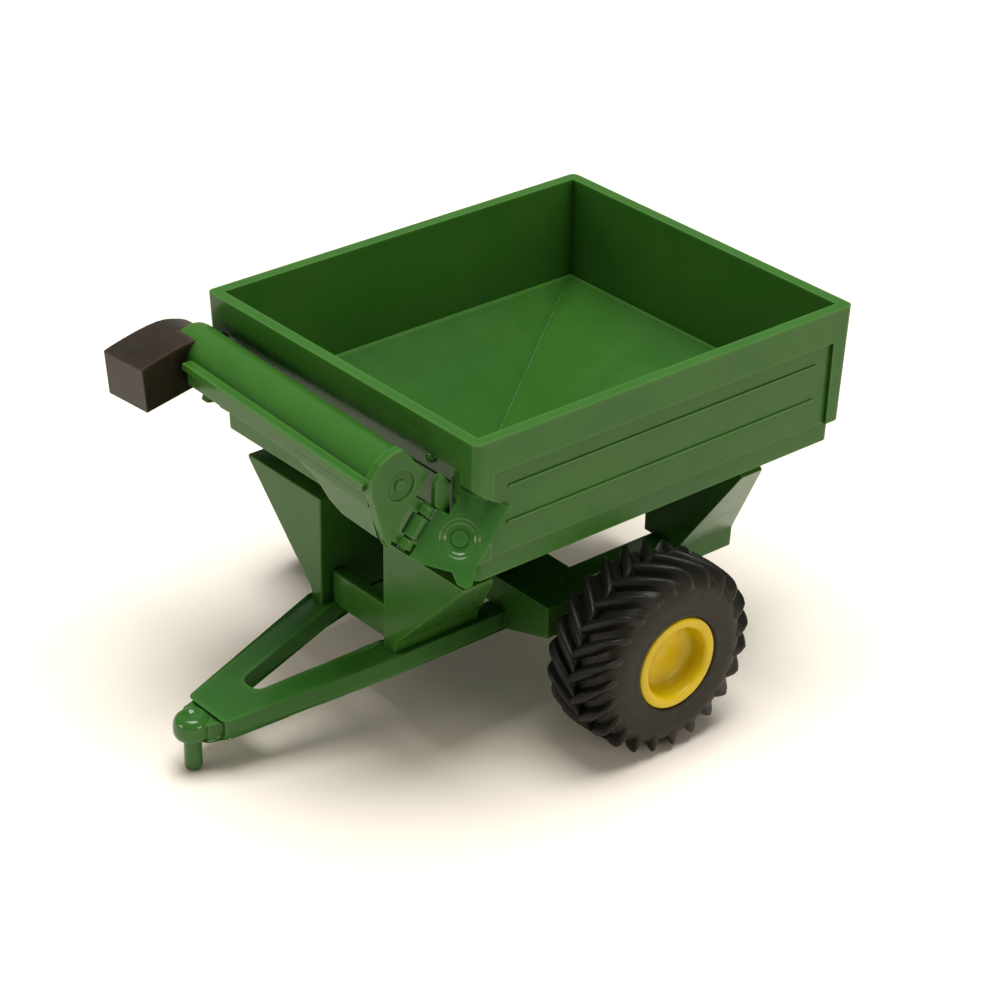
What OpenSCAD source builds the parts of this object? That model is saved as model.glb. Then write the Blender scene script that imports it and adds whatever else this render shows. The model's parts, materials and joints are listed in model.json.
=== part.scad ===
// Toy grain cart, small scale: open hopper on a two-wheel chassis, with an
// unloading auger that folds across the front on a slanting corner hinge.
// +X is the cart's left side, +Y its rear, +Z up. The origin is on the ground,
// under the middle of the overall length and width. All sizes in millimetres.

/* [Hopper] */
// Width of the hopper at the rim
box_w = 58; // [56:0.5:60]
// Length of the hopper at the rim
box_l = 66.4; // [66:0.2:67]
// Height of the rim above the ground
rim_z = 52.6; // [52:0.1:53]
// Height of the upright walls
wall_h = 17.5; // [16.5:0.25:18.5]
// Thickness of the upright walls
wall_t = 1.8; // [1.6:0.1:2]
// How far the walls lean in from the rim to their foot
draft = 0.6; // [0.4:0.1:0.9]
// Height of the lip under the upright walls
lip_h = 3.2; // [2.4:0.1:3.4]
// Height of the plain band under the rim
band_h = 4.9; // [4:0.1:6]
// Depth of the sunken panel in each wall
panel_d = 0.5; // [0.3:0.1:0.7]
// Width of the corner posts
post_w = 3.3; // [2.5:0.1:4]
// Vertical thickness of the sloping floor
floor_t = 1.9; // [1.6:0.1:2.2]
// Depth from the rim to the top of the sloping floor
floor_top = 15; // [14.5:0.1:15.5]
// Depth from the rim to the bottom of the sloping floor
floor_low = 34; // [33.6:0.1:34]

/* [Chassis] */
// Distance between the rails' outer faces
rail_gauge = 19.6; // [19.2:0.1:20]
// Width of a chassis rail
rail_w = 2.7; // [2.5:0.1:2.8]
// Height of the rails' top face above the ground
rail_top = 12.2; // [12.1:0.05:12.25]
// Height of a chassis rail
rail_h = 2.8; // [2.6:0.1:3]
// Distance between the tops of the front struts, over their outer edges
strut_spread = 47.6; // [45:0.2:48]
// Depth from the rim to the top of the struts
strut_drop = 23.8; // [23.6:0.1:24.2]
// Fall of the tongue per millimetre of its length
tongue_fall = 0.16; // [0.14:0.01:0.17]
// Radius of the hitch pin
pin_r = 1.25; // [1.1:0.05:1.5]
// Radius of the eye that holds the hitch pin
eye_r = 2.6; // [2.4:0.1:2.8]

/* [Wheels] */
// Radius of a tyre over its lugs
tyre_r = 14; // [13.7:0.05:14.2]
// Width of a tyre
tyre_w = 12; // [11.5:0.25:12.25]
// Distance between the outer faces of the wheels
track_out = 74.6; // [74:0.1:75]
// Radius of the rim's flange
rim_r = 6.7; // [6.5:0.1:6.9]
// Lugs on each side of a tyre
lug_count = 23; // [20:1:26]
// Height of the lugs
lug_h = 1.1; // [0.8:0.1:1.2]
// Radius of the steel axle
axle_r = 0.8; // [0.7:0.05:0.85]

/* [Auger] */
// Slope of the fold hinge above level
hinge_tilt = 49.3; // [48:0.1:50.5]
// Angle that the auger turns from folded to working
fold_angle = 131.3; // [130:0.1:132]
// Distance from the hinge to the middle of the lower flange
flange_reach = 5.76; // [5.6:0.02:5.9]
// Outer radius of the upper auger tube
tube_r = 3.75; // [3.5:0.05:3.8]
// Wall of the upper auger tube
tube_wall = 0.9; // [0.7:0.1:1.1]
// Outer radius of the lower auger tube
low_tube_r = 2.9; // [2.6:0.1:3]
// Thickness of both flanges
flange_t = 1.4; // [1.2:0.1:1.5]
// Width of the spout
spout_w = 8.2; // [8:0.1:8.6]
// Reach of the spout in front of the tube's middle
spout_reach = 11.6; // [11:0.1:12]
// Radius of the hinge pin
hinge_r = 0.6; // [0.5:0.05:0.6]
// Radial clearance of the turning fits
clear = 0.05; // [0.03:0.01:0.08]

/* [Hidden] */
$fn = 64;
green = [0.22, 0.42, 0.16];
big = 200;
eps = 0.01;
// Overall length is centred on the origin
rear_y = 46.7;
front_y = rear_y - box_l;
hitch_y = -rear_y + eye_r;
pin_root = 5.2;
pin_neck = 0.8;
eye_h = 3.6;
wall_foot = rim_z - wall_h;
lip_foot = wall_foot - lip_h;
lip_inset = 0.9;
floor_z1 = rim_z - floor_top;
floor_z0 = rim_z - floor_low;
boot_half = 5.5;
boot_front = -4;
boot_rear = 6.1;
rail_x = rail_gauge / 2;
rail_foot = rail_top - rail_h;
rail_front = -17.5;
rail_rear = 42.9;
strut_top = rim_z - strut_drop;
strut_in = 7;
strut_front = -17.3;
strut_rear = 31.8;
strut_foot = 8.5;
fork_y = -35.3;
nose_y = -41.3;
tongue_lean = 0.248;
axle_y = 8.8;
half_w = tyre_w / 2;
wheel_x = track_out / 2 - half_w;
shaft_end = wheel_x + 1.9;
hinge_pos = [22.17, -22.98, 41.18];
tube_a = 1.95;
tube_c = 5.79;
yaw = 2.4;
tube_end = -50;
tube_step = 48.3;
spigot_r = tube_r - 1.1;
tube_bore = spigot_r - tube_wall;
spout_x = -48.7;
spout_yaw = 4.8;
spout_pitch = 5.1;
notch_top = 5.85;
notch_slope = 0.265;
notch_turn = 0.25;
lug_pitch = 360 / lug_count;
eye_out = 1.2;
knuckle = [-3.2, 0.1];
arms = [[-4.6, -3.35], [0.25, 1.5]];
// Front and side outlines of the struts on the +X side
front_strut_face = [[strut_in, rail_top], [strut_in, strut_top], [strut_spread / 2, strut_top],
  [strut_spread / 2, strut_top - 0.6], [rail_x - 0.3, rail_top + 1.5], [rail_x - 0.5, rail_top]];
front_strut_side = [[strut_front, rail_top], [strut_front, strut_top], [-12.6, strut_top],
  [-2.9, 14.2], [-2.9, rail_top]];
rear_strut_face = [[5.2, rail_top], [5.2, 36], [17.7, 36], [24.3, strut_top], [11.85, 11.7],
  [11.6, strut_foot], [rail_x, strut_foot], [rail_x, rail_top]];
rear_strut_side = [[strut_rear, strut_foot], [strut_rear, 36], [35.7, 36], [35.7, strut_top],
  [rail_rear, 11.7], [rail_rear, strut_foot]];
// Half of the axle beam's front outline
axle_half = [[rail_x, rail_top], [rail_x, 9.2], [19.1, 12], [19.1, floor_z0 - floor_t]];

// Half width, front y, rear y and height of the hopper's section at a height
function section(z, inset) =
  let (lean = draft * (rim_z - z) / wall_h + inset)
  [box_w / 2 - lean, front_y + lean, rear_y - lean, z];

// Solid between two level rectangles
module frustum(low, high)
  polyhedron(
    points = [for (r = [low, high]) for (c = [[-1, 1], [1, 1], [1, 2], [-1, 2]])
      [c[0] * r[0], r[c[1]], r[3]]],
    faces = [[0, 1, 2, 3], [7, 6, 5, 4], [0, 4, 5, 1], [1, 5, 6, 2], [2, 6, 7, 3], [3, 7, 4, 0]]);

// The space inside the upright walls, from below the lip to above the rim
module wall_space()
  frustum(section(floor_z0 - 5, wall_t), section(rim_z + 2, wall_t));

// The pyramid of the sloping floor, carried up past the rim, lowered by drop
module floor_space(drop) {
  top = section(floor_z1, wall_t);
  rise = 3;
  run = (floor_z1 - floor_z0);
  grow = [for (i = [0:2]) (top[i] - [boot_half, boot_front, boot_rear][i]) / run];
  translate([0, 0, -drop])
    frustum([boot_half - grow[0] * rise, boot_front - grow[1] * rise,
        boot_rear - grow[2] * rise, floor_z0 - rise],
      [top[0] + grow[0] * rise, top[1] + grow[1] * rise, top[2] + grow[2] * rise, floor_z1 + rise]);
}

// Frame on the fold hinge: y runs up the hinge and z leans forward and up
module at_hinge() translate(hinge_pos) rotate([hinge_tilt, 0, 0]) children();

// Frame on the middle of the lower flange: z is its outward normal
module at_flange() at_hinge() rotate([0, fold_angle - 90, 0]) translate([flange_reach, 0, 0]) children();

// Frame on the upper auger at its flange: x runs back along the tube towards the hinge
module at_auger() translate(hinge_pos) rotate([hinge_tilt, 0, 0])
  translate([0, tube_a, tube_c]) rotate([-hinge_tilt, 0, 0]) rotate([0, 0, -yaw]) children();

// Outline in y and z drawn out along x
module along_x(from, to) translate([from, 0, 0]) rotate([90, 0, 90]) linear_extrude(to - from) children();

// Outline in x and z drawn out along y
module along_y(from, to) translate([0, to, 0]) rotate([90, 0, 0]) linear_extrude(to - from) children();

module mirrored(side) mirror([side < 0 ? 1 : 0, 0, 0]) children();

// Height of the notch's top edge at a place across the lower flange
function notch_y(x) = notch_top + notch_slope * x;

// The corner cut out of the hopper in front of the lower flange, with room for the turning tube
module corner_notch() intersection() {
  at_flange() {
    linear_extrude(30)
      polygon([[-20, -30], [20, -30], [20, notch_y(20)], [-20, notch_y(-20)]]);
    translate([0, 0, flange_t]) linear_extrude(30)
      polygon([[-20, -30], [notch_turn, -30], [notch_turn, notch_y(notch_turn)],
        [-20, notch_y(notch_turn)]]);
  }
  translate([23.6, front_y - 10, 0]) cube([10, 30, rim_z + 5]);
}

module low_tube_core(r, from, to) at_flange() translate([0, 0, -to]) cylinder(r = r, h = to - from);

module wall_windows() {
  z0 = wall_foot - eps;
  h = wall_h - band_h;
  translate([-big / 2, front_y + post_w, z0]) cube([big, box_l - 2 * post_w, h]);
  translate([-box_w / 2 + post_w, -big / 2, z0]) cube([box_w - 2 * post_w, big, h]);
}

module wall_ribs() {
  rib = 0.35;
  for (drop = [7.7, 13]) {
    z = rim_z - drop;
    intersection() {
      frustum(section(z - rib, panel_d - 0.2), section(z + rib, panel_d - 0.2));
      union() {
        translate([-big / 2, front_y + 6, z - rib / 2]) cube([big, box_l - 12, rib]);
        translate([-box_w / 2 + 6, -big / 2, z - rib / 2]) cube([box_w - 12, big, rib]);
      }
    }
  }
}

module hopper_tub() color(green) difference() {
  union() {
    difference() {
      frustum(section(wall_foot, 0), section(rim_z, 0));
      difference() {
        wall_windows();
        frustum(section(wall_foot - 1, panel_d), section(rim_z, panel_d));
      }
    }
    wall_ribs();
    frustum(section(lip_foot, lip_inset), section(wall_foot, lip_inset));
  }
  wall_space();
  corner_notch();
  at_flange() flange_blank();
  low_tube_core(low_tube_r, 0, 36);
}

module hopper_floor() color(green) difference() {
  intersection() {
    floor_space(floor_t);
    wall_space();
    translate([-big / 2, -big / 2, floor_z0 - floor_t]) cube(big);
  }
  floor_space(0);
  corner_notch();
  at_flange() flange_blank();
  low_tube_core(low_tube_r, 0, 33);
}

// Block in the narrow bottom of the sloping floor, with a trough along the cart
module sump_boot() color(green) difference() {
  intersection() {
    translate([-boot_half, boot_front, floor_z0 - floor_t])
      cube([2 * boot_half, boot_rear - boot_front, floor_t]);
    floor_space(0);
  }
  translate([0, (boot_front + boot_rear) / 2, floor_z0 + 3.2]) rotate([90, 0, 0])
    cylinder(r = 4.4, h = boot_rear - boot_front - 1, center = true);
}

module lower_auger_tube() color(green) difference() {
  low_tube_core(low_tube_r, flange_t, 33);
  low_tube_core(low_tube_r - 0.8, 0, 34);
}

// Plate of the lower flange, with its outer face on the plane z = 0
module flange_blank() translate([0, 0, -flange_t]) linear_extrude(flange_t)
  polygon([[-4.4, 1.9], [-4.4, -5.2], [-2.4, -5.2], [1.2, -4.2], [3.6, -2.4], [3.5, 2.1],
    [3.3, notch_y(3.3)], [-2.4, notch_y(-2.4)], [-2.8, 3.5], [-2.8, 1.9]]);

module lower_flange() color(green) difference() {
  union() {
    at_flange() flange_blank();
    at_flange() translate([0, 0, -flange_t]) linear_extrude(flange_t)
      polygon([[0.8, -3.8], [2.7, -5.2], [3.8, -5.1], [4.4, -4.3], [3.6, -2], [2, -2]]);
    at_hinge() translate([0, knuckle[0], 0]) rotate([-90, 0, 0])
      cylinder(r = eye_out, h = knuckle[1] - knuckle[0]);
    at_flange() translate([-flange_reach, knuckle[0], -flange_t])
      cube([2.2, knuckle[1] - knuckle[0], flange_t]);
  }
  at_hinge() translate([0, -20, 0]) rotate([-90, 0, 0]) cylinder(r = hinge_r + clear, h = 40);
  for (a = arms) at_hinge() translate([0, a[0] - 0.3, 0]) rotate([-90, 0, 0])
    cylinder(r = eye_out + 0.25, h = a[1] - a[0] + 0.6);
  at_flange() translate([0, 0, -0.4]) difference() {
    cylinder(r = 2.9, h = 1);
    translate([0, 0, -1]) cylinder(r = 1.05, h = 3);
  }
}

// Upright fin between the front wall and the lower flange, clear of the turning arms
module flange_gusset() color(green) difference() {
  along_x(22.7, 23.5) polygon([[front_y + 1, 44], [-20.5, 46.8], [-20.9, 46.7], [-21.7, 45.7],
    [-21.7, 36], [front_y + 1, 36]]);
  at_flange() translate([-20, -20, -flange_t]) cube([40, 21.9, 30]);
  at_flange() flange_blank();
  frustum(section(wall_foot - 9, 0), section(rim_z, 0));
  low_tube_core(low_tube_r, 0, 36);
}

module auger_rest() color(green) difference() {
  along_x(-25.8, -24.2) polygon([[front_y + 2, 41], [front_y - 3.2, 39.9], [front_y - 3.8, 38.4],
    [front_y + 2, 37.2]]);
  frustum(section(wall_foot - 9, 0), section(rim_z, 0));
}

module rail(side) color(green) mirrored(side)
  translate([rail_x - rail_w, rail_front, rail_foot]) cube([rail_w, rail_rear - rail_front, rail_h]);

module left_rail() rail(1);
module right_rail() rail(-1);

// Height of a tongue surface at a place in front of the rails
function fall(z, y) = z + tongue_fall * (y - rail_front);

// Side view of the sloping tongue, from its nose back to the rails
module tongue_side() polygon([[rail_front, rail_top], [rail_front, rail_foot],
  [nose_y, fall(rail_foot, nose_y)], [nose_y, fall(rail_top, nose_y)]]);

// Half width of the tongue at a place in front of the rails
function tongue_x(y) = rail_x + tongue_lean * (y - rail_front);

module tongue_beam(side) color(green) mirrored(side) intersection() {
  along_x(0, 20) tongue_side();
  linear_extrude(big) polygon([[tongue_x(rail_front), rail_front], [5.95, rail_front], [1.9, fork_y],
    [tongue_x(fork_y), fork_y]]);
}

module left_tongue_beam() tongue_beam(1);
module right_tongue_beam() tongue_beam(-1);

// Flat plate that joins the beams, with the round eye for the hitch pin
module hitch_head() color(green) difference() {
  union() {
    intersection() {
      along_x(-20, 20) tongue_side();
      linear_extrude(big) polygon([[tongue_x(fork_y), fork_y], [-tongue_x(fork_y), fork_y],
        [-tongue_x(nose_y), nose_y], [tongue_x(nose_y), nose_y]]);
    }
    translate([0, 0, pin_root]) linear_extrude(eye_h - 0.3)
      polygon([[3.4, nose_y + 1], [-3.4, nose_y + 1], [-eye_r, hitch_y + 0.6], [eye_r, hitch_y + 0.6]]);
    translate([0, hitch_y, pin_root]) cylinder(r = eye_r, h = eye_h);
  }
  translate([0, hitch_y, pin_root - eps]) cylinder(r = pin_neck, h = 2.5);
  translate([0, hitch_y, pin_root + eye_h - 0.25]) cylinder(r = 0.8, h = 2);
}

module hitch_pin() color(green) translate([0, hitch_y, 0]) {
  cylinder(r1 = pin_r - 0.4, r2 = pin_r, h = 0.4);
  translate([0, 0, 0.4]) cylinder(r = pin_r, h = pin_root - 0.4);
  translate([0, 0, pin_root - eps]) cylinder(r = pin_neck, h = 2.3);
}

// Strut: the front outline cut to the side outline, under the sloping floor
module strut(side, front, front_outline, side_outline) color(green) mirrored(side) difference() {
  intersection() {
    along_y(front, front + 16) polygon(front_outline);
    along_x(0, 40) polygon(side_outline);
  }
  floor_space(floor_t);
}

module front_left_strut() color(green) difference() {
  strut(1, strut_front, front_strut_face, front_strut_side);
  low_tube_core(low_tube_r, 0, 33);
}
module front_right_strut() strut(-1, strut_front, front_strut_face, front_strut_side);
module rear_left_strut() strut(1, strut_rear, rear_strut_face, rear_strut_side);
module rear_right_strut() strut(-1, strut_rear, rear_strut_face, rear_strut_side);

// Plate that ties a pair of struts together, on top of the rails
module cross_member(half, front, thick) color(green)
  translate([-half, front, rail_top]) cube([2 * half, thick, 4.8]);

module front_cross_member() cross_member(strut_in, -15.5, 2);
module rear_cross_member() cross_member(5.2, 37.5, 2.4);

module axle_beam() color(green) difference() {
  union() {
    along_y(1.5, 11.1)
      polygon([for (i = [0:3]) axle_half[i], for (i = [3:-1:0]) [-axle_half[i][0], axle_half[i][1]]]);
    for (side = [1, -1]) mirrored(side) translate([19, axle_y, tyre_r]) rotate([0, 90, 0])
      cylinder(r = 2.1, h = wheel_x - half_w - 0.4 - 19);
  }
  translate([-big / 2, axle_y, tyre_r]) rotate([0, 90, 0]) cylinder(r = axle_r, h = big);
}

module axle_shaft() color("silver") translate([-shaft_end, axle_y, tyre_r]) rotate([0, 90, 0])
  cylinder(r = axle_r, h = 2 * shaft_end);

// Frame on a wheel: z runs out along the axle, from the middle of the tyre
module at_wheel(side) mirrored(side) translate([wheel_x, axle_y, tyre_r]) rotate([0, 90, 0]) children();

// Dished rim, with a blind bore that runs on the end of the axle
module wheel_rim(side) color([0.80, 0.70, 0.10]) at_wheel(side) difference() {
  rotate_extrude() polygon([[0, -half_w], [2.2, -half_w], [2.2, -1.4], [5.6, -2.4], [5.6, -half_w],
    [rim_r - 0.2, -half_w], [rim_r, 0.2 - half_w], [rim_r, 0.8 - half_w], [6.2, 1.3 - half_w],
    [6.2, half_w - 1.3], [rim_r, half_w - 0.8], [rim_r, half_w - 0.2], [rim_r - 0.2, half_w],
    [5.8, half_w], [5.4, half_w - 0.5], [5, half_w - 1.9], [4.2, half_w - 2.9], [3, half_w - 3.3],
    [1.3, half_w - 3.3], [1.2, half_w - 3.1], [0, half_w - 3.1]]);
  translate([0, 0, -10]) cylinder(r = axle_r + clear, h = 12.05);
}

module left_rim() wheel_rim(1);
module right_rim() wheel_rim(-1);

// Half of a tyre's section, from the bead out to the tread
function tyre_half(r, shoulder) = [[6.2, half_w - 1.3], [rim_r, half_w - 0.8], [rim_r, half_w - 0.15],
  [9, half_w], [r - 2.6, half_w - 0.05], [r - shoulder, half_w - 0.7], [r - 0.35, half_w - 1.8],
  [r, half_w - 3.6]];
module tyre_form(r, shoulder) rotate_extrude() {
  half = tyre_half(r, shoulder);
  n = len(half);
  polygon([for (i = [0:n - 1]) half[i], for (i = [1:n]) [half[n - i][0], -half[n - i][1]]]);
}

module lug(side, turn) rotate([0, 0, turn]) translate([tyre_r - 3.4, 0, side * 2.9])
  rotate([side * 40, 0, 0]) translate([0, -0.7, -4]) cube([6, 1.4, 8]);

module tyre(side) color([0.16, 0.15, 0.13]) at_wheel(side) union() {
  tyre_form(tyre_r - lug_h, 1);
  intersection() {
    tyre_form(tyre_r, 1.1);
    for (i = [0:lug_count - 1]) {
      lug(1, i * lug_pitch);
      lug(-1, (i + 0.5) * lug_pitch);
    }
  }
}

module left_tyre() tyre(1);
module right_tyre() tyre(-1);

module tube_trim() translate([hinge_pos[0] - flange_t, -big / 2, 0]) cube(big);

// Cylinder along the upper auger, between two places back from its flange
module auger_core(r, from, to) at_auger() rotate([0, -90, 0]) translate([0, 0, from])
  cylinder(r = r, h = to - from);

// Frame on the spout, in the middle of its width on the tube's axis
module at_spout() at_auger() translate([spout_x, 0, 0]) rotate([0, 0, yaw + spout_yaw])
  rotate([spout_pitch, 0, 0]) children();

// Hollow tube with a thinner end that plugs into the spout
module auger_tube() color(green) difference() {
  union() {
    auger_core(tube_r, 0, tube_step);
    auger_core(spigot_r, tube_step - 1, -tube_end);
  }
  auger_core(tube_bore, -3, -tube_end - 1);
  tube_trim();
}

// Flange of the upper auger in the hinge's frame: y up the hinge, z forward
module auger_flange() color(green) at_hinge() difference() {
  union() {
    along_x(-flange_t, 0) {
      polygon([[6, 9], [5.75, 7.4], [5.4, 5.6], [4.9, 2.6], [-3.4, 2.3], [-5.6, 1.9], [-5, 3.2],
        [-3.5, 5.6], [-0.9, 9.4], [0.6, 10.6], [2.8, 10.9], [4.5, 10.2]]);
    }
    for (a = arms) {
      translate([-flange_t, a[0], 0]) cube([flange_t, a[1] - a[0], 3]);
      translate([0, a[0], 0]) rotate([-90, 0, 0]) cylinder(r = eye_out, h = a[1] - a[0]);
    }
  }
  translate([0, -20, 0]) rotate([-90, 0, 0]) cylinder(r = hinge_r, h = 40);
  translate([0, tube_a, tube_c]) rotate([0, -90, 0]) translate([0, 0, -1]) difference() {
    cylinder(r = 2.1, h = 1.25);
    translate([0, 0, -1]) cylinder(r = 0.8, h = 4);
  }
}

module auger_web() color(green) difference() {
  at_auger() union() {
    translate([-43, -5.1, 0.3]) cube([60, 2.6, 0.9]);
    along_x(-43, 17) polygon([[-4.4, 1], [-3.2, 1], [-3.2, -2.2], [-4.2, -2.2]]);
    intersection() {
      along_x(-17.5, 17) polygon([[-4.3, -1], [-3.4, -1], [-1.9, -7.1], [-2.8, -7.1]]);
      along_y(-10, 10) polygon([[-17.5, -1], [-16.8, -2.6], [-13.6, -3.6], [-11.4, -6], [-9, -7.1],
        [17, -7.1], [17, -1]]);
    }
  }
  at_auger() rotate([0, -90, 0]) translate([0, 0, -20]) cylinder(r = tube_r, h = 80);
  tube_trim();
}

// Spout: a box with an arched top that reaches forward from the tube's end
module spout() color([0.14, 0.09, 0.07]) difference() {
  at_spout() along_x(-spout_w / 2, spout_w / 2)
    polygon([[-spout_reach, 2.85], [-spout_reach, -3.7], [0, -3.2], [1.8, -2.6], [3, -1.2], [3.2, 0.3],
      [2.8, 1.44], [1.75, 2.1], [0.22, 2.76], [-1.06, 3.19], [-2.4, 3.42], [-4, 3.5], [-6.1, 3.45],
      [-8.2, 3.3], [-10.35, 3.07]]);
  auger_core(tube_r, 30, tube_step);
  auger_core(spigot_r, 30, -tube_end);
}

module hinge_pin() color(green) at_hinge() translate([0, arms[0][0] - 0.3, 0]) rotate([-90, 0, 0])
  cylinder(r = hinge_r, h = arms[1][1] - arms[0][0] + 0.6);

hopper_tub();
hopper_floor();
sump_boot();
lower_auger_tube();
lower_flange();
flange_gusset();
auger_rest();
left_rail();
right_rail();
left_tongue_beam();
right_tongue_beam();
hitch_head();
hitch_pin();
front_left_strut();
front_right_strut();
rear_left_strut();
rear_right_strut();
front_cross_member();
rear_cross_member();
axle_beam();
axle_shaft();
left_rim();
right_rim();
left_tyre();
right_tyre();
auger_tube();
auger_flange();
auger_web();
spout();
hinge_pin();
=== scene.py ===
import json
import math

import bmesh
import bpy
from mathutils import Matrix, Vector


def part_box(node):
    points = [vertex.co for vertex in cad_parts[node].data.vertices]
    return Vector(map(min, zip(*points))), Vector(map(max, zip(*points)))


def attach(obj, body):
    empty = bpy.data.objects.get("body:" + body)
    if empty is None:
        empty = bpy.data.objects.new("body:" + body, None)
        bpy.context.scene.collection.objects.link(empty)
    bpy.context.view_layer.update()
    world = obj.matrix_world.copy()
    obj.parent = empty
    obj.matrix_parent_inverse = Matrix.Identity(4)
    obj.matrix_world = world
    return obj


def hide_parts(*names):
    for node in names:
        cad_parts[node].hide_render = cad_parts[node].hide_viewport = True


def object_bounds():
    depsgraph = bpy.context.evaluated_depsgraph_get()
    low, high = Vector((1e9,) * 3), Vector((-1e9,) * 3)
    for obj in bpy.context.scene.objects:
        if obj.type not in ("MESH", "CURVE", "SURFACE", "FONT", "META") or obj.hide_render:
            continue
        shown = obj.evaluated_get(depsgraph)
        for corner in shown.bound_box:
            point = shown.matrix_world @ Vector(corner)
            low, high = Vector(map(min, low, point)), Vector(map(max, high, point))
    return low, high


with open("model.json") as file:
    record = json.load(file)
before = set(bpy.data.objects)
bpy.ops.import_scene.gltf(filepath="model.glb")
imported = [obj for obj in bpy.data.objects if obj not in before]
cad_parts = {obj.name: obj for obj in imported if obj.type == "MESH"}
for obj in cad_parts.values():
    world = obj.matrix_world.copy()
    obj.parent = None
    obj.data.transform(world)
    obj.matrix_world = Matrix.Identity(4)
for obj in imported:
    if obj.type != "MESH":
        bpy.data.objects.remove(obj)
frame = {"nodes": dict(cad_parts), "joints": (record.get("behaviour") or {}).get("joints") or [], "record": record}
CAD_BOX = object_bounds()
MM = 0.001
BODY = {n: b for b, ns in frame["record"]["behaviour"]["bodies"].items() for n in ns}
JOINT = {j["name"]: j for j in frame["joints"]}


# ---------------------------------------------------------------- materials

AO_SAMPLES = 4
WHEEL_CENTRE = (8.8, 14.0)      # millimetres along Y and Z, the same for both wheels
SHOULDER = (10.6, 12.9)         # radii over which the sidewall's colour turns into the tread's


class Nodes:
    """A material's node tree, with short calls that add and wire its nodes."""

    def __init__(self, name):
        self.mat = bpy.data.materials.new(name)
        self.mat.use_nodes = True
        self.tree = self.mat.node_tree
        self.tree.nodes.clear()
        self.out = self.add("ShaderNodeOutputMaterial")
        self.bsdf = self.add("ShaderNodeBsdfPrincipled")
        self.link(self.bsdf.outputs[0], self.out.inputs["Surface"])
        coord = self.add("ShaderNodeTexCoord")
        self.mm = self.add("ShaderNodeMapping")
        self.mm.inputs["Scale"].default_value = (1000, 1000, 1000)
        self.link(coord.outputs["Object"], self.mm.inputs["Vector"])

    def add(self, kind, **settings):
        node = self.tree.nodes.new(kind)
        for key, value in settings.items():
            setattr(node, key, value)
        return node

    def link(self, a, b):
        self.tree.links.new(a, b)

    def noise(self, scale, detail, rough=0.5, twist=0.0, stretch=None):
        """Noise with its scale per millimetre."""
        node = self.add("ShaderNodeTexNoise")
        node.inputs["Scale"].default_value = scale
        node.inputs["Detail"].default_value = detail
        node.inputs["Roughness"].default_value = rough
        node.inputs["Distortion"].default_value = twist
        source = self.mm.outputs[0]
        if stretch:
            squeeze = self.add("ShaderNodeMapping")
            squeeze.inputs["Scale"].default_value = stretch
            self.link(source, squeeze.inputs["Vector"])
            source = squeeze.outputs[0]
        self.link(source, node.inputs["Vector"])
        return node.outputs["Fac"]

    def ramp(self, value, low, high, to_low=0.0, to_high=1.0):
        node = self.add("ShaderNodeMapRange", clamp=True, interpolation_type="SMOOTHSTEP")
        node.inputs["From Min"].default_value = low
        node.inputs["From Max"].default_value = high
        node.inputs["To Min"].default_value = to_low
        node.inputs["To Max"].default_value = to_high
        self.link(value, node.inputs["Value"])
        return node.outputs[0]

    def mix(self, share, a, b, blend="MIX"):
        node = self.add("ShaderNodeMix", data_type="RGBA", blend_type=blend)
        if isinstance(share, float):
            node.inputs[0].default_value = share
        else:
            self.link(share, node.inputs[0])
        for socket, value in ((node.inputs[6], a), (node.inputs[7], b)):
            if isinstance(value, tuple):
                socket.default_value = (*value, 1.0)
            else:
                self.link(value, socket)
        return node.outputs[2]

    def occlusion(self, reach, inside=False):
        """Open share of the space around a point, or of the material behind it."""
        node = self.add("ShaderNodeAmbientOcclusion", samples=AO_SAMPLES, inside=inside, only_local=inside)
        node.inputs["Distance"].default_value = reach
        return node.outputs["AO"]

    def edges(self, reach, amount):
        """High along outer edges, the mask of a painted edge highlight and of rubbing wear."""
        return self.ramp(self.occlusion(reach, True), 0.55, 0.95, amount, 0.0)

    def bumps(self, *layers):
        """Each layer is a height, its strength and its depth in metres."""
        last = None
        for height, strength, depth in layers:
            node = self.add("ShaderNodeBump")
            node.inputs["Strength"].default_value = strength
            node.inputs["Distance"].default_value = depth
            self.link(height, node.inputs["Height"])
            if last:
                self.link(last, node.inputs["Normal"])
            last = node.outputs[0]
        self.link(last, self.bsdf.inputs["Normal"])

    def set(self, **values):
        for key, value in values.items():
            self.bsdf.inputs[key.replace("_", " ")].default_value = value


def moulded(name, base, deep, edge, rough, spec, highlight_share=0.6):
    """Injection-moulded plastic: flow marks, lighter flecks, fine grain, a painted highlight on outer edges
    and painted shade in corners and creases. The last argument sets how far the edge highlight shows."""
    n = Nodes(name)
    flow = n.ramp(n.noise(0.07, 3, 0.5, 0.8), 0.35, 0.65)
    cloud = n.ramp(n.noise(0.5, 5, 0.6), 0.4, 0.75, 0.0, 0.3)
    colour = n.mix(cloud, n.mix(flow, deep, base), deep)
    # lighter flecks at random, in the colour that also serves the painted edge highlight
    colour = n.mix(n.ramp(n.noise(3.1, 2, 0.5), 0.7, 0.76, 0.0, 0.12), colour, edge)
    # painted shade: corners, creases and recesses darken where ambient occlusion finds them
    shade = n.mix(1.0, colour, (0.22, 0.36, 0.24), "MULTIPLY")
    colour = n.mix(n.ramp(n.occlusion(0.0022), 0.2, 1.0), shade, colour)
    # painted highlight along the outer edges, with a little rubbing wear
    n.link(n.mix(n.edges(0.0005, highlight_share), colour, edge), n.bsdf.inputs["Base Color"])
    n.link(n.ramp(n.noise(0.3, 4, 0.6), 0.3, 0.7, *rough), n.bsdf.inputs["Roughness"])
    n.bumps((n.noise(0.12, 1, 0.5, 0.2), 0.12, 0.00005), (n.noise(1.1, 3, 0.5), 0.03, 0.00001),
            (n.noise(8.0, 2, 0.5), 0.04, 0.000005))
    n.set(Specular_IOR_Level=spec)
    return n.mat


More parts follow.
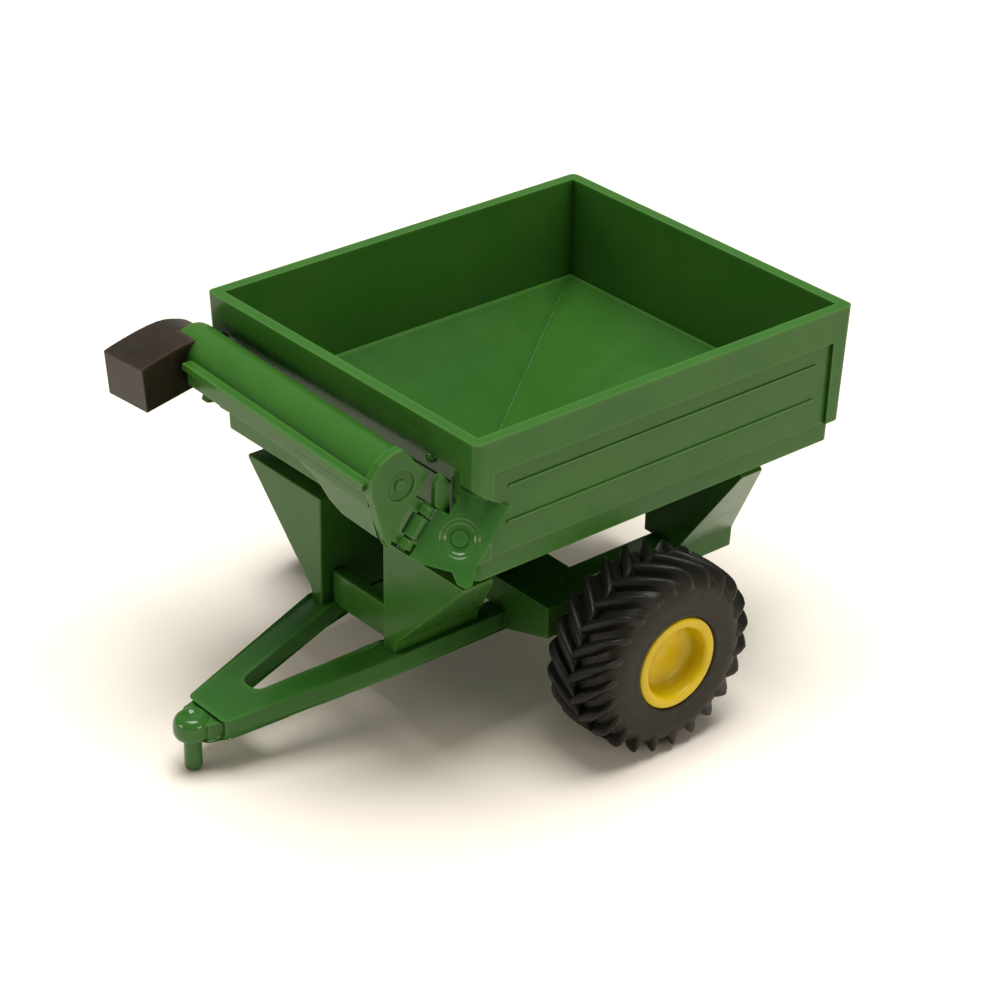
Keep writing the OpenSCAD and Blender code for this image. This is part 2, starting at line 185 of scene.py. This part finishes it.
def tyre_rubber(name, side, tread, dust_and_highlight):
    """Moulded rubber: dusty brown sidewalls that darken over the shoulder to near-black lugs."""
    n = Nodes(name)
    place = n.add("ShaderNodeSeparateXYZ")
    n.link(n.mm.outputs[0], place.inputs[0])
    spot = n.add("ShaderNodeCombineXYZ")
    shift = n.add("ShaderNodeCombineXYZ")
    for axis, middle in zip("YZ", WHEEL_CENTRE):
        n.link(place.outputs[axis], spot.inputs[axis])
        shift.inputs[axis].default_value = -middle
    total = n.add("ShaderNodeVectorMath", operation="ADD")
    n.link(spot.outputs[0], total.inputs[0])
    n.link(shift.outputs[0], total.inputs[1])
    radius = n.add("ShaderNodeVectorMath", operation="LENGTH")
    n.link(total.outputs[0], radius.inputs[0])
    fade = n.ramp(radius.outputs["Value"], *SHOULDER)
    bloom = n.ramp(n.noise(0.3, 5, 0.65, 0.5), 0.38, 0.7, 0.0, 0.7)
    colour = n.mix(fade, n.mix(bloom, side, dust_and_highlight), tread)
    # lighter lug edges: a painted highlight and rubbing wear, in the dust colour
    colour = n.mix(n.edges(0.0005, 0.5), colour, dust_and_highlight)
    # painted shade: near black deep in the gaps between the lugs
    colour = n.mix(n.ramp(n.occlusion(0.002), 0.0, 0.8, 0.75, 0.0), colour, (0.004, 0.004, 0.003))
    n.link(colour, n.bsdf.inputs["Base Color"])
    n.link(n.ramp(n.noise(0.8, 4, 0.6), 0.3, 0.7, 0.36, 0.52), n.bsdf.inputs["Roughness"])
    n.bumps((n.noise(0.4, 3, 0.5), 0.3, 0.00008), (n.noise(4.5, 4, 0.6), 0.3, 0.00002))
    n.set(Specular_IOR_Level=0.18)
    return n.mat


def turned_steel(name):
    """Drawn wire, with fine scratches along its length."""
    n = Nodes(name)
    line = n.noise(1.5, 4, 0.6, 0.0, (0.06, 6, 6))
    n.link(n.mix(n.ramp(line, 0.35, 0.65), (0.42, 0.42, 0.43), (0.66, 0.66, 0.67)),
           n.bsdf.inputs["Base Color"])
    n.link(n.ramp(line, 0.3, 0.7, 0.24, 0.42), n.bsdf.inputs["Roughness"])
    n.bumps((line, 0.3, 0.00001))
    n.set(Metallic=1.0)
    return n.mat


# The fourth colour of each is for the random flecks and the painted edge highlight
GREEN = moulded("green_moulded_plastic", (0.029, 0.106, 0.013), (0.024, 0.097, 0.012), (0.054, 0.17, 0.024),
                rough=(0.2, 0.28), spec=0.22, highlight_share=0.5)
GLOSSY = moulded("green_gloss_plastic", (0.028, 0.108, 0.016), (0.022, 0.098, 0.014), (0.048, 0.165, 0.026),
                 rough=(0.1, 0.17), spec=0.35, highlight_share=0.4)
YELLOW = moulded("yellow_moulded_plastic", (0.60, 0.43, 0.003), (0.48, 0.34, 0.002), (0.66, 0.5, 0.01),
                 rough=(0.25, 0.36), spec=0.3)
BROWN = moulded("brown_spout_plastic", (0.017, 0.0115, 0.0065), (0.012, 0.008, 0.005), (0.04, 0.025, 0.016),
                rough=(0.26, 0.4), spec=0.3)
# The last colour is the sidewall dust and the painted highlight on the lug edges
RUBBER = tyre_rubber("tyre_rubber", (0.014, 0.0118, 0.0065), (0.0045, 0.0045, 0.0035),
                     (0.019, 0.017, 0.011))
STEEL = turned_steel("drawn_steel")


# ---------------------------------------------------------------- meshes

WELD = 3e-6                     # points of the CAD mesh that are closer than this are one
FLAT_TURN = math.radians(0.4)   # faces that turn by less than this are one flat face
EDGE_TURN = math.radians(24)    # edges that turn by more than this are rounded
FOOT_BAND = 1e-5                # points this close to the lowest one are a piece's foot
CORNER_REACH = 1.9 * MM         # how near its box's corner an upright corner edge lies
CORNER_TURN = 1.0               # radians that an upright corner edge turns by, at the least


def finish_mesh(bm, name, mats, body, replaced, sharp=38):
    """Turns bm into a piece that rides on a body and stands for CAD nodes."""
    bmesh.ops.recalc_face_normals(bm, faces=bm.faces)
    mesh = bpy.data.meshes.new(name)
    bm.to_mesh(mesh)
    bm.free()
    for mat in mats:
        mesh.materials.append(mat)
    mesh.polygons.foreach_set("use_smooth", [True] * len(mesh.polygons))
    mesh.set_sharp_from_angle(angle=math.radians(sharp))
    obj = bpy.data.objects.new(name, mesh)
    bpy.context.scene.collection.objects.link(obj)
    even = obj.modifiers.new("even", "WEIGHTED_NORMAL")
    even.weight, even.keep_sharp = 100, True
    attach(obj, body)
    if replaced:
        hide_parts(*replaced)
    return obj


def bevel(bm, edges, radius, segments):
    bmesh.ops.bevel(bm, geom=edges, offset=radius * MM, segments=segments, profile=0.5, affect="EDGES",
                    clamp_overlap=True)


def round_edges(bm, radius, segments):
    """Rounds every edge of bm that turns by more than EDGE_TURN."""
    mesh = bpy.data.meshes.new("scratch")
    bm.to_mesh(mesh)
    bm.free()
    scratch = bpy.data.objects.new("scratch", mesh)
    bpy.context.scene.collection.objects.link(scratch)
    mod = scratch.modifiers.new("round", "BEVEL")
    mod.width = radius * MM
    mod.segments = segments
    mod.limit_method = "ANGLE"
    mod.angle_limit = EDGE_TURN
    mod.miter_outer = "MITER_ARC"
    evaluated = scratch.evaluated_get(bpy.context.evaluated_depsgraph_get())
    made = bmesh.new()
    made.from_mesh(evaluated.to_mesh())
    evaluated.to_mesh_clear()
    bpy.data.objects.remove(scratch)
    bpy.data.meshes.remove(mesh)
    return made


def upright_corners(bm, node):
    """The outer edges that stand nearly upright at the corners of a node's box."""
    lo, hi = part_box(node)

    def at_corner(co):
        return min(co.x - lo.x, hi.x - co.x) < CORNER_REACH and min(co.y - lo.y, hi.y - co.y) < CORNER_REACH

    return [e for e in bm.edges
            if abs(e.verts[0].co.z - e.verts[1].co.z) > 0.8 * e.calc_length()
            and all(at_corner(v.co) for v in e.verts)
            and len(e.link_faces) == 2 and e.calc_face_angle_signed(0) > CORNER_TURN]


def rounded_copy(node, radius, mat, segments=3, sink=0.0, broad=0.0, least=0.0):
    """The moulded form of a CAD node: the same shape with the small radii that a mould gives every edge.
    The lowest points go down by sink, into the piece that they stand on. Upright outer corners take the
    radius broad. With least, only edges longer than that are rounded. All are in millimetres."""
    bm = bmesh.new()
    bm.from_mesh(frame["nodes"][node].data)
    bmesh.ops.remove_doubles(bm, verts=bm.verts, dist=WELD)
    bmesh.ops.dissolve_limit(bm, angle_limit=FLAT_TURN, verts=bm.verts, edges=bm.edges)
    foot = min(v.co.z for v in bm.verts)
    for v in bm.verts:
        if v.co.z < foot + FOOT_BAND:
            v.co.z -= sink * MM
    if broad:
        bevel(bm, upright_corners(bm, node), broad, 6)
    if least:
        bevel(bm, [e for e in bm.edges if e.calc_length() > least * MM and len(e.link_faces) == 2
                   and e.calc_face_angle(0) > EDGE_TURN], radius, segments)
    else:
        bm = round_edges(bm, radius, segments)
    return finish_mesh(bm, node + "_moulded", [mat], BODY[node], [node])


def lathe(bm, profile, place, segments, closed=True):
    """Turns (radius, along) points about an axis; place maps (radius, along, angle) to a point."""
    rings = []
    for r, w in profile:
        if r < 1e-6:
            rings.append([bm.verts.new(place(0, w, 0))])
        else:
            rings.append([bm.verts.new(place(r, w, 2 * math.pi * i / segments)) for i in range(segments)])
    pairs = list(zip(rings, rings[1:]))
    if closed:
        pairs.append((rings[-1], rings[0]))
    for a, b in pairs:
        for i in range(segments):
            j = (i + 1) % segments
            quad = [a[i % len(a)], a[j % len(a)], b[j % len(b)], b[i % len(b)]]
            corners = list(dict.fromkeys(quad))
            if len(corners) > 2:
                bm.faces.new(corners)


# ---------------------------------------------------------------- wheels

# Tyre section as (radius, out): the carcass, and the foot and the crest of the lugs
CARCASS = [(6.25, 4.6), (6.68, 5.2), (6.74, 5.7), (6.95, 5.9), (7.4, 5.95), (7.62, 5.9), (7.85, 5.94),
           (9.2, 5.99), (10.2, 5.93), (10.9, 5.75), (11.5, 5.4), (11.95, 4.9), (12.3, 4.2), (12.5, 3.3),
           (12.62, 2.0), (12.66, 0.0)]
LUG_BASE = [(12.6, -0.6), (12.6, 0.5), (12.58, 1.7), (12.5, 2.9), (12.3, 3.9), (11.95, 4.7), (11.5, 5.2),
            (11.0, 5.55), (10.6, 5.7)]
LUG_TOP = [(13.93, -0.6), (13.98, 0.5), (13.99, 1.7), (13.96, 2.9), (13.88, 3.9), (13.68, 4.85), (13.2, 5.5),
           (12.2, 5.85), (10.9, 5.92)]
LUGS = 23
LUG_TURN = math.radians(-6.6)   # where the first lug starts
LUG_SWEEP = math.radians(23)    # how far a lug curves round the tyre
LUG_STEPS = 20
LUG_HALF = 1.14                 # half a lug's width
TREAD_R = 13.4                  # radius that the width is measured at
# Section of a lug as (across, up), in shares of half its width and of its height: in the tread's middle,
# and at the shoulder
BROAD = [(-1.3, -0.25), (-1.1, 0.06), (-0.86, 0.5), (-0.7, 0.8), (-0.46, 0.96), (0, 1.0), (0.46, 0.96),
         (0.7, 0.8), (0.86, 0.5), (1.1, 0.06), (1.3, -0.25)]
SHARP = [(-1.3, -0.25), (-1.0, 0.06), (-0.66, 0.45), (-0.4, 0.75), (-0.18, 0.94), (0.02, 1.0), (0.2, 0.93),
         (0.36, 0.72), (0.52, 0.42), (0.75, 0.06), (1.1, -0.25)]
# Rim section as (radius, out): hub face, dish, bead, barrel, back and axle hole
RIM = [(0, 2.8), (0.8, 2.8), (1.1, 2.78), (1.35, 2.72), (1.6, 2.67), (2.6, 2.68), (3.6, 2.74), (4.2, 2.9),
       (4.6, 3.2), (4.82, 3.6), (4.92, 4.2), (5.0, 4.9), (5.1, 5.45), (5.24, 5.75), (5.45, 5.93),
       (5.75, 5.99), (6.15, 5.98), (6.45, 5.88), (6.64, 5.68), (6.69, 5.4), (6.66, 5.22), (6.2, 4.7),
       (6.2, -4.7), (6.66, -5.2), (6.69, -5.6), (6.5, -5.95), (6.1, -6.0), (5.75, -5.95), (5.6, -5.7),
       (5.6, -2.6), (5.3, -2.2), (2.5, -1.4), (2.2, -1.7), (2.2, -5.8), (2.05, -6.0), (0.95, -6.0),
       (0.86, -5.9), (0.86, 1.9), (0, 1.9)]


def wheel_place(node):
    """Maps (radius, out, angle) in millimetres to the frame, for the wheel that node is on."""
    lo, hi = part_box(node)
    centre = (lo + hi) / 2
    side = 1 if centre.x > 0 else -1

    def place(r, w, a):
        return Vector((centre.x + side * w * MM, centre.y + r * MM * math.cos(a),
                       centre.z + r * MM * math.sin(a)))

    return place


def along(line, u):
    """The point at share u of a line of points, by index."""
    x = u * (len(line) - 1)
    i = min(int(x), len(line) - 2)
    t = x - i
    return [line[i][k] * (1 - t) + line[i + 1][k] * t for k in (0, 1)]


def round_end(share):
    """Height of a quarter circle at a share of its width."""
    return math.sqrt(1 - (1 - min(1.0, share)) ** 2)


def lug(bm, place, side, turn):
    """One curved lug, from just past the tread's middle to the shoulder, where it narrows to a crest."""
    rings = []
    for k in range(LUG_STEPS + 1):
        u = k / LUG_STEPS
        base, top = along(LUG_BASE, u), along(LUG_TOP, u)
        angle = turn - LUG_SWEEP * (1 - (1 - u) ** 1.5)
        width = LUG_HALF * min(1.0, 0.25 + round_end(u / 0.08), 0.35 + round_end((1 - u) / 0.14))
        crest = min(1.0, max(0.0, (u - 0.35) / 0.35))
        ring = []
        for (flat, up), (keen, rise) in zip(BROAD, SHARP):
            across, high = flat + (keen - flat) * crest, up + (rise - up) * crest
            r = base[0] + (top[0] - base[0]) * high
            w = base[1] + (top[1] - base[1]) * high
            ring.append(bm.verts.new(place(r, side * w, angle + across * width / TREAD_R)))
        rings.append(ring)
    bm.faces.new(rings[0])
    bm.faces.new(rings[-1])
    for a, b in zip(rings, rings[1:]):
        for i in range(len(a)):
            j = (i + 1) % len(a)
            bm.faces.new((a[i], a[j], b[j], b[i]))


def make_tyre(node):
    """Carcass with two rows of lugs, the inner row half a pitch behind."""
    place = wheel_place(node)
    bm = bmesh.new()
    lathe(bm, CARCASS + [(r, -w) for r, w in reversed(CARCASS[:-1])], place, 138)
    for i in range(LUGS):
        lug(bm, place, 1, LUG_TURN + 2 * math.pi * i / LUGS)
        lug(bm, place, -1, LUG_TURN + 2 * math.pi * (i + 0.5) / LUGS)
    return finish_mesh(bm, node + "_rubber", [RUBBER], BODY[node], [node], 50)


def make_rim(node):
    bm = bmesh.new()
    lathe(bm, RIM, wheel_place(node), 144)
    return finish_mesh(bm, node + "_dished", [YELLOW], BODY[node], [node], 55)


# ---------------------------------------------------------------- drawbar and rails

BAR_FALL = 0.16     # how far the drawbar drops for each unit of length
BAR_LEAN = 0.248    # how far its sides draw in
NOSE = 6.0          # length of the solid plate in front of the beams
BAR_ROUND = 0.5
EYE_ROOT = 5.2      # height of the eye's underside
EYE = [(0, 3.06), (0.5, 3.08), (0.85, 3.2), (1.15, 3.36), (1.5, 3.42), (1.85, 3.3), (2.15, 3.05), (2.4, 2.65),
       (2.53, 2.2), (2.58, 1.7), (2.58, 1.1), (2.52, 0.7), (2.35, 0.3), (2.05, 0.06), (1.8, 0.0), (0, 0.0)]


def hitch_neck(nose, eye_y):
    """The short block between the plate's nose and the eye."""
    bm = bmesh.new()
    outline = [(3.2, nose + 0.5), (-3.2, nose + 0.5), (-2.4, eye_y + 0.6), (2.4, eye_y + 0.6)]
    rows = [[bm.verts.new((x * MM, y * MM, z * MM)) for x, y in outline]
            for z in (EYE_ROOT + 0.06, EYE_ROOT + 2.75)]
    bm.faces.new(rows[0])
    bm.faces.new(list(reversed(rows[1])))
    for i in range(4):
        j = (i + 1) % 4
        bm.faces.new((rows[0][i], rows[0][j], rows[1][j], rows[1][i]))
    return round_edges(bm, BAR_ROUND, 4)


def chassis_bars():
    """Rails, tongue beams and hitch plate as the one moulding that they look like, with the eye in front."""
    lo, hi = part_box("left_rail")
    beam_lo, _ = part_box("left_tongue_beam")
    tip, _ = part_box("hitch_pin")
    join, foot, top = lo.y / MM, lo.z / MM, hi.z / MM
    rear, inner, outer = hi.y / MM, lo.x / MM, hi.x / MM
    fork = beam_lo.y / MM
    nose = fork - NOSE

    def fall(z, y):
        return z + BAR_FALL * min(0.0, y - join)

    # Outlines from above: the fork's gap with its rounded end, the plate round it, and a rail
    gap = [(5.95, join), (2.55, fork + 1.9), (2.22, fork + 0.85), (1.5, fork + 0.25), (0.6, fork + 0.02)]
    right = [(outer + BAR_LEAN * (nose - join), nose), (outer, join)]
    plate = right + gap + [(-x, y) for x, y in reversed(gap)] + [(-x, y) for x, y in reversed(right)]
    flare = (inner, join + (inner - gap[0][0]) / BAR_LEAN)
    rail = [(outer, join), (outer, rear), (inner, rear), flare, gap[0]]
    bm = bmesh.new()
    tops, feet = {}, {}
    for x, y in dict.fromkeys(plate + rail + [(-x, y) for x, y in rail]):
        tops[x, y] = bm.verts.new((x * MM, y * MM, fall(top, y) * MM))
        feet[x, y] = bm.verts.new((x * MM, y * MM, fall(foot, y) * MM))
    for loop in (plate, rail, [(-x, y) for x, y in reversed(rail)]):
        bm.faces.new([tops[p] for p in loop])
        bm.faces.new([feet[p] for p in reversed(loop)])
    border = [e for e in bm.edges if len(e.link_faces) == 1 and all(v in tops.values() for v in e.verts)]
    under = {t: feet[p] for p, t in tops.items()}
    for e in border:
        a, b = e.verts
        bm.faces.new((a, b, under[b], under[a]))
    bm = round_edges(bm, BAR_ROUND, 4)

    eye_y = tip.y / MM + 1.25
    lathe(bm, EYE, lambda r, w, a: Vector((r * math.cos(a), eye_y + r * math.sin(a), EYE_ROOT + w)) * MM, 72,
          closed=False)
    neck = hitch_neck(nose, eye_y)
    spare = bpy.data.meshes.new("spare")
    neck.to_mesh(spare)
    neck.free()
    bm.from_mesh(spare)
    bpy.data.meshes.remove(spare)
    return finish_mesh(bm, "chassis_bars_moulded", [GLOSSY], BODY["hitch_head"],
                       ["left_rail", "right_rail", "left_tongue_beam", "right_tongue_beam", "hitch_head"])


def hitch_pin():
    """Pin with a well-rounded foot and a thinner spigot in the eye."""
    lo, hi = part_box("hitch_pin")
    x, y = (lo.x + hi.x) / 2, (lo.y + hi.y) / 2
    r = (hi.x - lo.x) / 2 / MM
    bm = bmesh.new()
    lathe(bm, [(0, 0.01), (r * 0.4, 0.04), (r * 0.68, 0.16), (r * 0.88, 0.4), (r * 0.98, 0.75),
               (r * 0.99, 1.2), (r * 0.99, 5.0), (r * 1.12, 5.3), (0.75, 5.4), (0.75, 7.3), (0, 7.3)],
          lambda q, w, a: Vector((x + q * MM * math.cos(a), y + q * MM * math.sin(a), w * MM)), 64,
          closed=False)
    return finish_mesh(bm, "hitch_pin_moulded", [GLOSSY], BODY["hitch_pin"], ["hitch_pin"],
                       60)


# ---------------------------------------------------------------- small details of the hopper's corner

FACES_MEET = 0.3    # degrees past the end of the swing at which the two flange faces would touch
RINGS_AT = 5.76     # from the hinge's axis to the middle of the flange's round recess
RINGS = [(0, -0.03), (0.45, -0.04), (0.72, -0.1), (0.86, -0.25), (0.92, -0.41), (1.2, -0.4), (1.75, -0.38),
         (1.9, -0.32), (2.02, -0.2), (2.14, -0.17), (2.26, -0.22), (2.36, -0.24), (2.46, -0.14),
         (2.56, -0.05), (2.7, -0.01), (2.84, -0.02), (2.96, -0.06), (3.0, -0.2), (2.9, -0.6), (0, -0.6)]
NUB = [(0, 0.5), (0.25, 0.48), (0.48, 0.38), (0.62, 0.2), (0.7, -0.05), (0.85, -0.3), (0, -0.3)]


def flange_beads():
    """Two raised rings and a low boss in the round recess of the lower flange, all below its face."""
    joint = JOINT["auger_fold"]
    up = Vector(joint["axis"]).normalized()
    side = Vector((1, 0, 0))
    out = side.cross(up)
    turn = math.radians(joint["range_deg"][1] + FACES_MEET - 90)
    across = side * math.cos(turn) - out * math.sin(turn)
    normal = side * math.sin(turn) + out * math.cos(turn)
    centre = Vector(joint["pos_m"]) + across * RINGS_AT * MM
    bm = bmesh.new()
    lathe(bm, RINGS,
          lambda r, w, a: centre + (across * math.cos(a) + up * math.sin(a)) * r * MM + normal * w * MM, 96,
          closed=False)
    return finish_mesh(bm, "lower_flange_rings", [GLOSSY], BODY["lower_flange"], [], 60)


def wall_nub():
    """Small moulded nub on the front wall beside the hinge."""
    lo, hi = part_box("hopper_tub")
    middle = Vector((hi.x - 9.5 * MM, lo.y + 0.15 * MM, hi.z - 5.4 * MM))
    bm = bmesh.new()
    lathe(bm, NUB, lambda r, w, a: middle + Vector((r * math.cos(a), -w, r * math.sin(a))) * MM, 32,
          closed=False)
    return finish_mesh(bm, "hopper_wall_nub", [GREEN], BODY["hopper_tub"], [], 60)


# ---------------------------------------------------------------- the pieces

for node in ("left_tyre", "right_tyre"):
    make_tyre(node)
for node in ("left_rim", "right_rim"):
    make_rim(node)
rounded_copy("hopper_tub", 0.3, GREEN, broad=1.1)
rounded_copy("hopper_floor", 0.25, GREEN)
rounded_copy("sump_boot", 0.1, GREEN)
rounded_copy("lower_auger_tube", 0.15, GREEN)
rounded_copy("lower_flange", 0.24, GLOSSY)
flange_beads()
wall_nub()
rounded_copy("flange_gusset", 0.2, GREEN)
rounded_copy("auger_rest", 0.3, GREEN)
rounded_copy("axle_beam", 0.3, GREEN)
for node in ("front_cross_member", "rear_cross_member"):
    rounded_copy(node, 0.3, GREEN, sink=0.4)
for node in ("front_left_strut", "front_right_strut"):
    rounded_copy(node, 0.32, GREEN, sink=0.6)
for node in ("rear_left_strut", "rear_right_strut"):
    rounded_copy(node, 0.32, GREEN)
chassis_bars()
hitch_pin()
rounded_copy("axle_shaft", 0.15, STEEL)
rounded_copy("auger_tube", 0.25, GREEN)
rounded_copy("auger_flange", 0.32, GREEN)
rounded_copy("auger_web", 0.3, GREEN)
rounded_copy("spout", 0.35, BROWN, segments=4, least=3.0)
rounded_copy("hinge_pin", 0.1, GREEN)


# ---------------------------------------------------------------- stage, light, camera

FLOOR_HALF = 3.0
FLOOR_GAP = 0.00002             # the floor lies this far below the part, so that no faces coincide
MIDDLE = (0, 0, 0.03)           # what the lamps point at
CAMERA_AT = (0.280535, -0.227622, 0.227104)
CAMERA_RIGHT = (0.63904, 0.76909, 0.01223)
CAMERA_BACK = (0.66804, -0.56290, 0.48671)


def floor_material():
    n = Nodes("studio_floor")
    n.link(n.mix(n.ramp(n.noise(0.02, 2), 0.3, 0.7), (0.77, 0.72, 0.645), (0.78, 0.73, 0.655)),
           n.bsdf.inputs["Base Color"])
    n.bumps((n.noise(1.2, 2), 0.05, 0.00002))
    n.set(Roughness=0.75, Specular_IOR_Level=0.15)
    return n.mat


def make_floor():
    bm = bmesh.new()
    bmesh.ops.create_grid(bm, x_segments=8, y_segments=8, size=FLOOR_HALF)
    mesh = bpy.data.meshes.new("floor")
    bm.to_mesh(mesh)
    bm.free()
    mesh.materials.append(floor_material())
    floor = bpy.data.objects.new("floor", mesh)
    floor.location = (0, 0, CAD_BOX[0].z - FLOOR_GAP)
    bpy.context.scene.collection.objects.link(floor)


def make_world():
    world = bpy.data.worlds.new("studio")
    world.use_nodes = True
    background = world.node_tree.nodes["Background"]
    background.inputs["Color"].default_value = (1.0, 0.98, 0.95, 1)
    background.inputs["Strength"].default_value = 0.3
    bpy.context.scene.world = world


def softbox(name, at, size, power, colour):
    lamp = bpy.data.lights.new(name, "AREA")
    lamp.shape = "RECTANGLE"
    lamp.size, lamp.size_y = size
    lamp.energy = power
    lamp.color = colour
    obj = bpy.data.objects.new(name, lamp)
    obj.location = at
    obj.rotation_mode = "QUATERNION"
    obj.rotation_quaternion = (Vector(at) - Vector(MIDDLE)).to_track_quat("Z", "Y")
    bpy.context.scene.collection.objects.link(obj)


def make_camera():
    cam = bpy.data.cameras.new("camera")
    cam.sensor_width = 36
    cam.lens = 108.05
    cam.clip_start, cam.clip_end = 0.01, 20
    camera = bpy.data.objects.new("camera", cam)
    right = Vector(CAMERA_RIGHT).normalized()
    back = Vector(CAMERA_BACK).normalized()
    turn = Matrix((right, back.cross(right), back)).transposed()
    camera.matrix_world = Matrix.Translation(CAMERA_AT) @ turn.to_4x4()
    bpy.context.scene.collection.objects.link(camera)
    bpy.context.scene.camera = camera


make_floor()
make_world()
softbox("top", (0.0, 0.1, 1.0), (0.7, 0.7), 16.5, (1.0, 0.985, 0.96))
softbox("right", (0.9, 0.15, 0.25), (0.4, 0.25), 2.4, (1.0, 0.84, 0.66))
softbox("front", (-0.25, -0.9, 0.25), (0.4, 0.25), 2.5, (1.0, 0.88, 0.72))
make_camera()
bpy.context.scene.view_settings.view_transform = "Standard"
